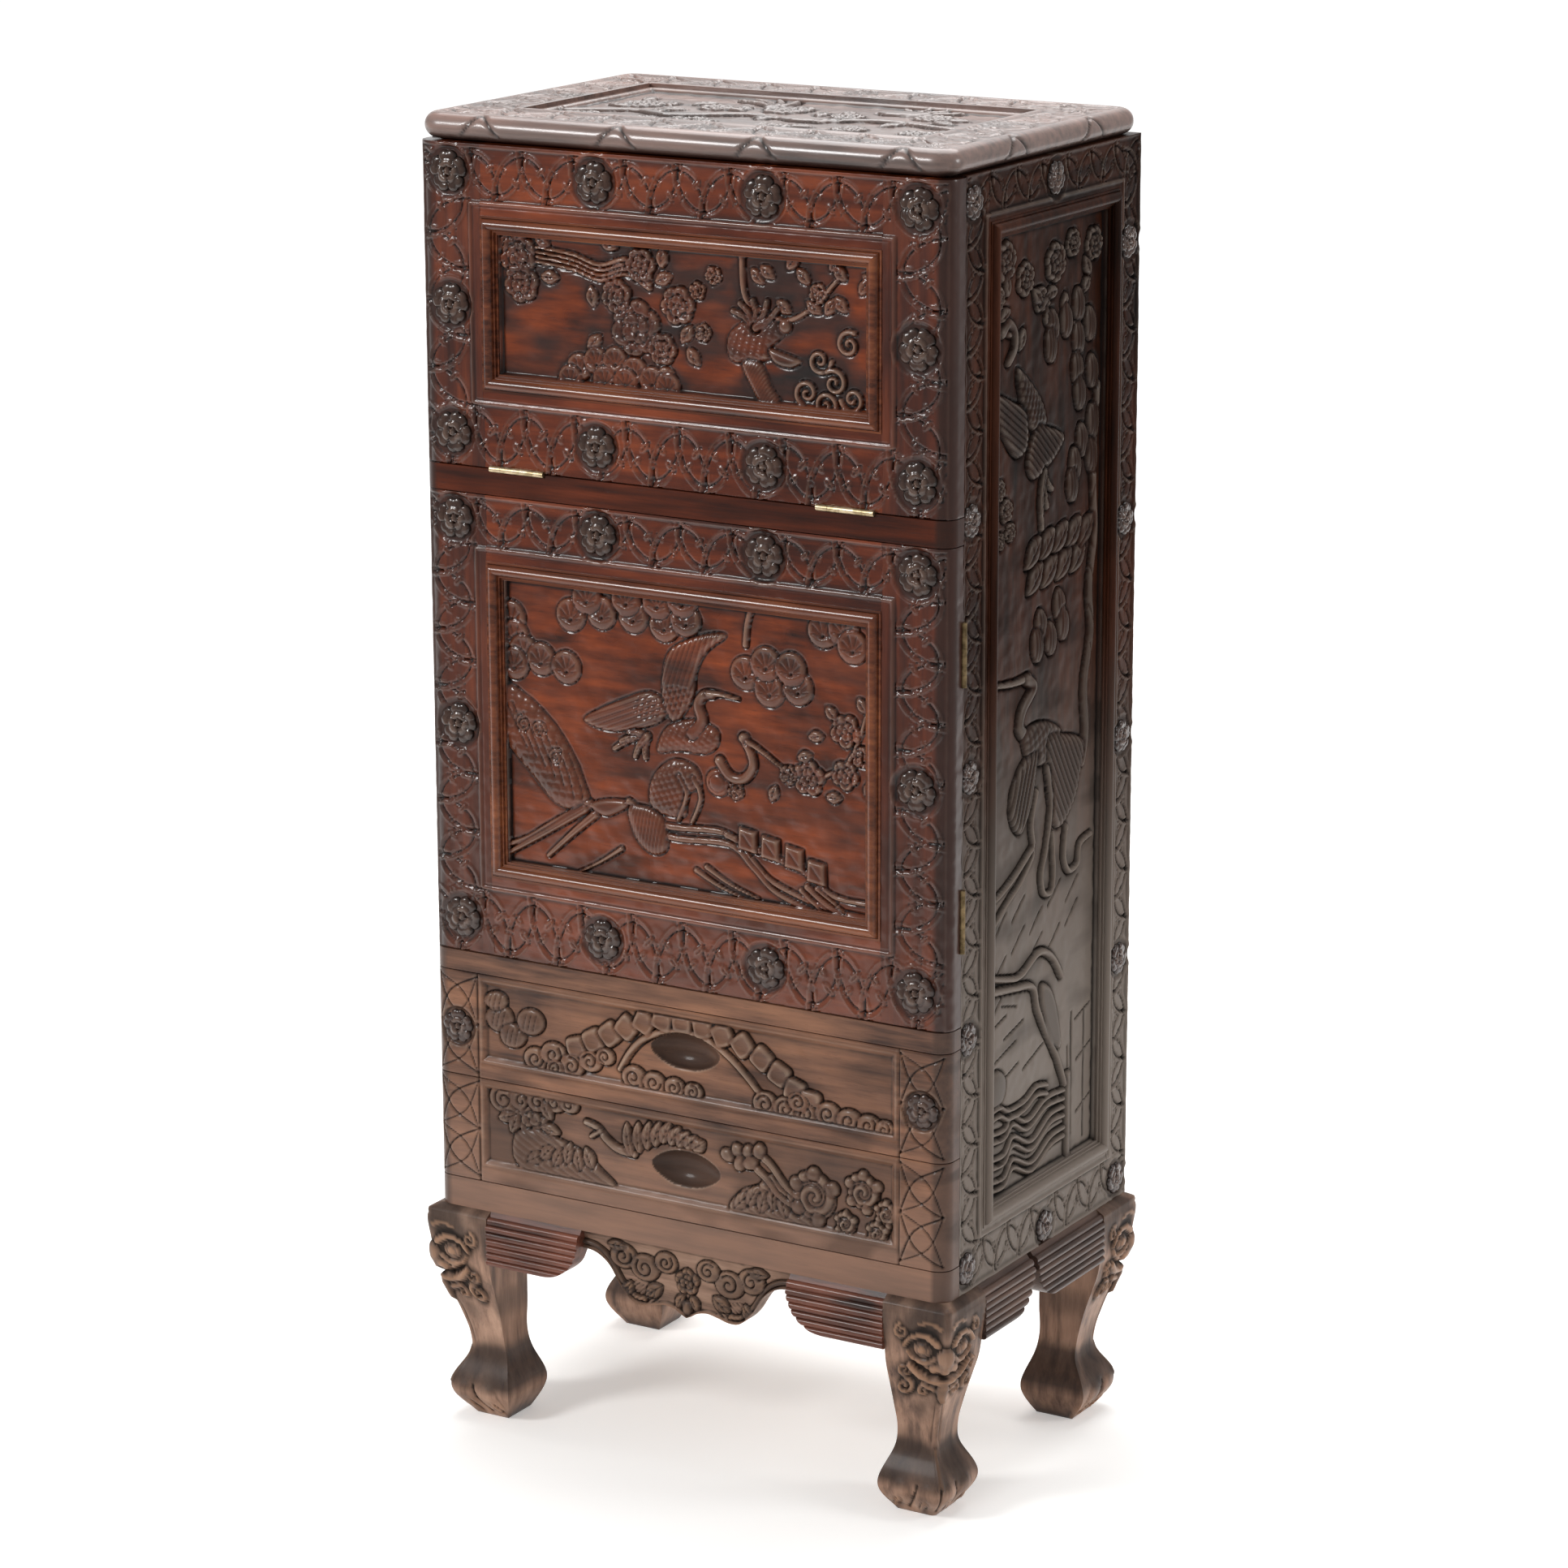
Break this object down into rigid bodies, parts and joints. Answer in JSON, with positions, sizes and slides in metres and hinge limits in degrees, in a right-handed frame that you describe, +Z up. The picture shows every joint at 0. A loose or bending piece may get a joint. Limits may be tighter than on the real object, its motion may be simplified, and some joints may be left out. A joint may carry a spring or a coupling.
{
  "type": "fall-front cabinet on legs",
  "caption": "Tall carved wooden cabinet with a fall-front desk flap on slotted stays, a cupboard with a shelf behind a door, and drawers, on cabriole legs with paw feet.",
  "frame": {"origin": "on the floor under the middle of the cabinet", "axes": "+Z up, +X to the viewer's right when facing the doors and drawers, -Y out of the front"},
  "size_m": [0.622, 0.408, 1.365],
  "materials": {
    "front_wood": "carved hardwood, glossy red-brown with dark hollows",
    "side_wood": "carved hardwood, dark brown, satin",
    "leg_wood": "carved hardwood, dark brown, worn to tan on the feet",
    "inner_wood": "plain softwood boards, unfinished",
    "brass": "plain brass, slightly dull"
  },
  "bodies": {
    "case": {"leg_front_left": "leg_wood", "leg_front_right": "leg_wood", "leg_back_left": "leg_wood", "leg_back_right": "leg_wood", "front_apron": "leg_wood", "front_wing_left": "leg_wood", "front_wing_right": "leg_wood", "side_wings_left": "leg_wood", "side_wings_right": "leg_wood", "bottom_board": "inner_wood", "cupboard_floor": "inner_wood", "desk_floor": "inner_wood", "cupboard_shelf": "inner_wood", "shelf_cleats": "inner_wood", "drawer_runners": "inner_wood", "bottom_rail": "front_wood", "drawer_rail": "front_wood", "mid_rail": "front_wood", "left_front_stile": "side_wood", "left_back_stile": "side_wood", "left_side_rails": "side_wood", "left_side_panel": "side_wood", "left_side_bead": "side_wood", "right_front_stile": "side_wood", "right_back_stile": "side_wood", "right_side_rails": "side_wood", "right_side_panel": "side_wood", "right_side_bead": "side_wood", "back_frame": "inner_wood", "back_panels": "inner_wood", "top_frame": "side_wood", "top_panel": "side_wood", "flap_hinge_case_leaves": "brass", "door_hinge_case_leaves": "brass", "stay_case_pins": "brass"},
    "flap": {"flap_left_stile": "front_wood", "flap_right_stile": "front_wood", "flap_top_rail": "front_wood", "flap_bottom_rail": "front_wood", "flap_panel": "front_wood", "flap_bead": "front_wood", "flap_hinge_flap_leaves": "brass", "stay_flap_brackets": "brass"},
    "door": {"door_left_stile": "front_wood", "door_right_stile": "front_wood", "door_top_rail": "front_wood", "door_bottom_rail": "front_wood", "door_panel": "front_wood", "door_bead": "front_wood", "door_hinge_door_leaves": "brass"},
    "upper_drawer": {"upper_drawer_front": "front_wood", "upper_drawer_sides": "inner_wood", "upper_drawer_back": "inner_wood", "upper_drawer_bottom": "inner_wood"},
    "lower_drawer": {"lower_drawer_front": "front_wood", "lower_drawer_sides": "inner_wood", "lower_drawer_back": "inner_wood", "lower_drawer_bottom": "inner_wood"},
    "stay_left": {"stay_arm_left": "brass"},
    "stay_right": {"stay_arm_right": "brass"}
  },
  "joints": [
    {"name": "flap_hinge", "type": "hinge", "parent": "case", "child": "flap", "pos_m": [0, -0.1935, 1.017], "axis": [1, 0, 0], "range_deg": [0, 90]},
    {"name": "door_hinge", "type": "hinge", "parent": "case", "child": "door", "pos_m": [0.3005, -0.1653, 0.7515], "axis": [0, 0, 1], "range_deg": [0, 160]},
    {"name": "upper_drawer_slide", "type": "slide", "parent": "case", "child": "upper_drawer", "axis": [0, -1, 0], "range_m": [0, 0.26]},
    {"name": "lower_drawer_slide", "type": "slide", "parent": "case", "child": "lower_drawer", "axis": [0, -1, 0], "range_m": [0, 0.26]},
    {"name": "stay_left_turn", "type": "hinge", "parent": "flap", "child": "stay_left", "pos_m": [-0.271, -0.154, 1.187], "axis": [1, 0, 0], "range_deg": [-45, 0]},
    {"name": "stay_right_turn", "type": "hinge", "parent": "flap", "child": "stay_right", "pos_m": [0.271, -0.154, 1.187], "axis": [1, 0, 0], "range_deg": [-45, 0]}
  ],
  "couplings": [
    {"joint": "stay_left_turn", "follows": "flap_hinge", "ratio": -0.5},
    {"joint": "stay_right_turn", "follows": "flap_hinge", "ratio": -0.5}
  ]
}
